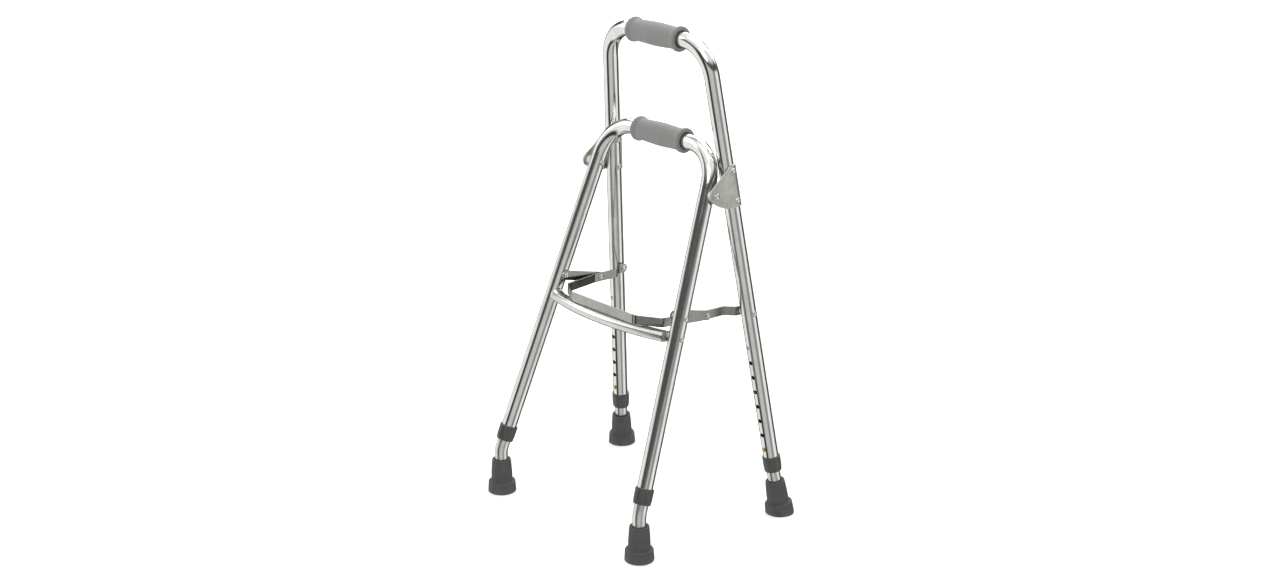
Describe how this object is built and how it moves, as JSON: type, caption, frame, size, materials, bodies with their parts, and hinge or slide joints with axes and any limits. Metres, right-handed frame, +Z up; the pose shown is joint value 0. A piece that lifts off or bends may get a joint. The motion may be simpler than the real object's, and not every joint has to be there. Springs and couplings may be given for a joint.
{
  "type": "folding side walking frame",
  "caption": "Folding one-hand walking frame: a tall and a short bent-tube frame hinged together, locked open by a strap brace and links, with height-adjustable rubber-tipped legs.",
  "frame": {"origin": "centre of the bounding box on the floor plane", "axes": "+Z up, +Y toward the tall frame (the rear), -Y toward the short frame and its bow bar (the front), +X toward the frame's right legs"},
  "size_m": [0.4416, 0.3362, 0.7992],
  "materials": {
    "aluminium_tube": "bright drawn and polished",
    "leg_extension": "satin anodised",
    "grip": "matte moulded vinyl",
    "bracket_steel": "satin nickel plated",
    "rivet_steel": "nickel plated",
    "washer_nylon": "natural",
    "brace_steel": "nickel chrome plated",
    "plate_steel": "satin plated",
    "collar_plastic": "dark grey moulded",
    "tip_rubber": "matte moulded",
    "insert_steel": "zinc plated",
    "button_brass": "turned",
    "spring_steel": "blued"
  },
  "bodies": {
    "tall_frame": {"tall_frame_tube": "aluminium_tube", "tall_grip": "grip", "hinge_bracket_left": "bracket_steel", "hinge_bracket_right": "bracket_steel", "bracket_rivets": "rivet_steel", "brace_pivot_rivets": "rivet_steel", "brace_pivot_washers": "washer_nylon", "leg_collar_tall_left": "collar_plastic", "leg_collar_tall_right": "collar_plastic"},
    "short_frame": {"short_frame_tube": "aluminium_tube", "short_grip": "grip", "hinge_pivot_rivets": "rivet_steel", "hinge_spacers": "washer_nylon", "link_pivot_rivets": "rivet_steel", "link_pivot_washers": "washer_nylon", "bow_bar": "brace_steel", "bow_rivets": "rivet_steel", "bow_washers": "washer_nylon", "leg_collar_short_left": "collar_plastic", "leg_collar_short_right": "collar_plastic"},
    "brace": {"brace_strap": "brace_steel", "brace_plate": "plate_steel", "brace_mid_studs": "rivet_steel"},
    "link_left": {"link_left": "brace_steel", "link_stud_left": "rivet_steel"},
    "link_right": {"link_right": "brace_steel", "link_stud_right": "rivet_steel"},
    "leg_tall_left": {"inner_leg_tall_left": "leg_extension", "rubber_tip_tall_left": "tip_rubber", "tip_washer_tall_left": "insert_steel"},
    "button_tall_left": {"snap_button_tall_left": "button_brass", "snap_spring_tall_left": "spring_steel"},
    "leg_tall_right": {"inner_leg_tall_right": "leg_extension", "rubber_tip_tall_right": "tip_rubber", "tip_washer_tall_right": "insert_steel"},
    "button_tall_right": {"snap_button_tall_right": "button_brass", "snap_spring_tall_right": "spring_steel"},
    "leg_short_left": {"inner_leg_short_left": "leg_extension", "rubber_tip_short_left": "tip_rubber", "tip_washer_short_left": "insert_steel"},
    "button_short_left": {"snap_button_short_left": "button_brass", "snap_spring_short_left": "spring_steel"},
    "leg_short_right": {"inner_leg_short_right": "leg_extension", "rubber_tip_short_right": "tip_rubber", "tip_washer_short_right": "insert_steel"},
    "button_short_right": {"snap_button_short_right": "button_brass", "snap_spring_short_right": "spring_steel"}
  },
  "joints": [
    {"name": "fold", "type": "hinge", "parent": "tall_frame", "child": "short_frame", "pos_m": [0, 0.03377, 0.5495], "axis": [1, 0, 0], "range_deg": [0, 24.5]},
    {"name": "brace_lift", "type": "hinge", "parent": "tall_frame", "child": "brace", "pos_m": [0, 0.10131, 0.348], "axis": [1, 0, 0], "range_deg": [-84, 0]},
    {"name": "link_left_turn", "type": "hinge", "parent": "short_frame", "child": "link_left", "pos_m": [0, -0.03447, 0.368], "axis": [1, 0, 0], "range_deg": [0, 38]},
    {"name": "link_right_turn", "type": "hinge", "parent": "short_frame", "child": "link_right", "pos_m": [0, -0.03447, 0.368], "axis": [1, 0, 0], "range_deg": [0, 38]},
    {"name": "leg_slide_tall_left", "type": "slide", "parent": "tall_frame", "child": "leg_tall_left", "axis": [-0.1066, 0.1224, -0.9867], "range_m": [0, 0.1524]},
    {"name": "button_press_tall_left", "type": "slide", "parent": "tall_frame", "child": "button_tall_left", "axis": [0.0131, 0.9925, 0.1216], "range_m": [0, 0.0032], "stiffness_N_per_m": 1500, "deforming": ["snap_spring_tall_left"]},
    {"name": "leg_slide_tall_right", "type": "slide", "parent": "tall_frame", "child": "leg_tall_right", "axis": [0.1066, 0.1224, -0.9867], "range_m": [0, 0.1524]},
    {"name": "button_press_tall_right", "type": "slide", "parent": "tall_frame", "child": "button_tall_right", "axis": [-0.0131, 0.9925, 0.1216], "range_m": [0, 0.0032], "stiffness_N_per_m": 1500, "deforming": ["snap_spring_tall_right"]},
    {"name": "leg_slide_short_left", "type": "slide", "parent": "short_frame", "child": "leg_short_left", "axis": [-0.0867, -0.3506, -0.9325], "range_m": [0, 0.1524]},
    {"name": "button_press_short_left", "type": "slide", "parent": "short_frame", "child": "button_short_left", "axis": [0.0325, -0.9365, 0.3491], "range_m": [0, 0.0032], "stiffness_N_per_m": 1500, "deforming": ["snap_spring_short_left"]},
    {"name": "leg_slide_short_right", "type": "slide", "parent": "short_frame", "child": "leg_short_right", "axis": [0.0867, -0.3506, -0.9325], "range_m": [0, 0.1524]},
    {"name": "button_press_short_right", "type": "slide", "parent": "short_frame", "child": "button_short_right", "axis": [-0.0325, -0.9365, 0.3491], "range_m": [0, 0.0032], "stiffness_N_per_m": 1500, "deforming": ["snap_spring_short_right"]}
  ],
  "couplings": [
    {"joint": "brace_lift", "follows": "fold", "ratio": -3.4196},
    {"joint": "link_left_turn", "follows": "fold", "ratio": 1.5351},
    {"joint": "link_right_turn", "follows": "fold", "ratio": 1.5351}
  ]
}
